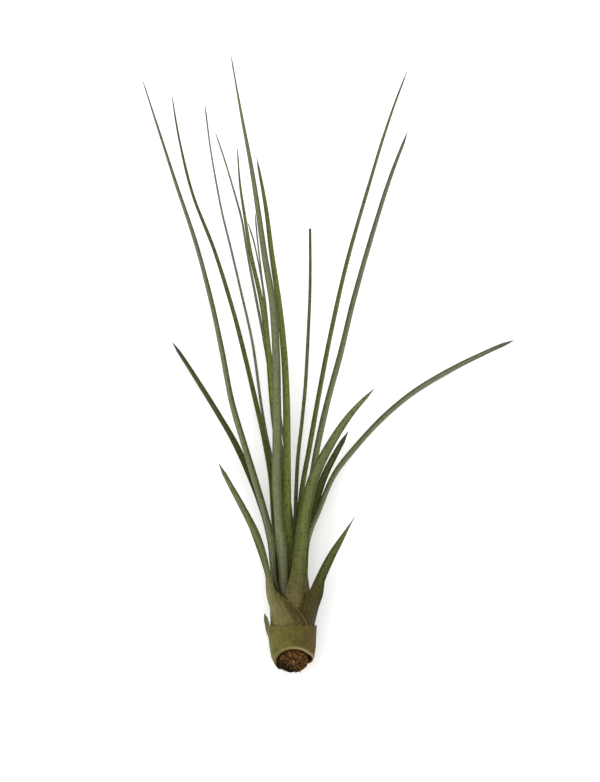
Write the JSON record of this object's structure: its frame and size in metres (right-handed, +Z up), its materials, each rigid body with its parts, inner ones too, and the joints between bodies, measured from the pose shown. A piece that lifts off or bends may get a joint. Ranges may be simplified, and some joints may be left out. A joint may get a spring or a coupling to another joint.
{
  "type": "tillandsia juncea",
  "caption": "Rush-leaved air plant lying on its back: a tuft of thin channelled leaves that fan out from a short sheathed bulb with a broken root end.",
  "frame": {"origin": "middle of the flat spot under the bulb that the plant lies on", "axes": "+Z up, away from the surface; +Y from the broken root end to the leaf tips; +X to the right as seen from above with the tips away from the viewer"},
  "size_m": [0.1896, 0.3116, 0.062],
  "materials": {
    "silver_leaf": "living leaf, pale grey-green with a silvery bloom of scales, satin",
    "grey_green_leaf": "living leaf, grey-green, satin",
    "green_leaf": "living leaf, bright green, satin",
    "olive_leaf": "living leaf, dark olive, satin",
    "dry_sheath": "dry papery leaf sheath, matte",
    "broken_stem": "dry fibrous stem, broken, matte"
  },
  "bodies": {
    "root": {"stem": "broken_stem", "old_sheath_right": "dry_sheath", "old_sheath_under": "dry_sheath", "leaf_stub_left": "olive_leaf", "leaf_short_left": "silver_leaf", "leaf_short_right": "olive_leaf", "leaf_long_left": "grey_green_leaf", "leaf_low_left": "olive_leaf", "leaf_broad_front": "grey_green_leaf", "leaf_arching_right": "grey_green_leaf", "leaf_tall_front": "silver_leaf", "leaf_tall_dark": "olive_leaf", "leaf_long_right_front": "silver_leaf", "leaf_long_right": "green_leaf", "leaf_short_dark": "olive_leaf", "leaf_long_left_back": "green_leaf", "leaf_thin_left": "silver_leaf", "leaf_thin_inner_left": "silver_leaf", "leaf_green_inner": "green_leaf", "leaf_thin_inner_grey": "silver_leaf", "leaf_faint_inner": "silver_leaf", "leaf_pale_inner": "silver_leaf", "leaf_broken_tip": "green_leaf"}
  },
  "joints": []
}
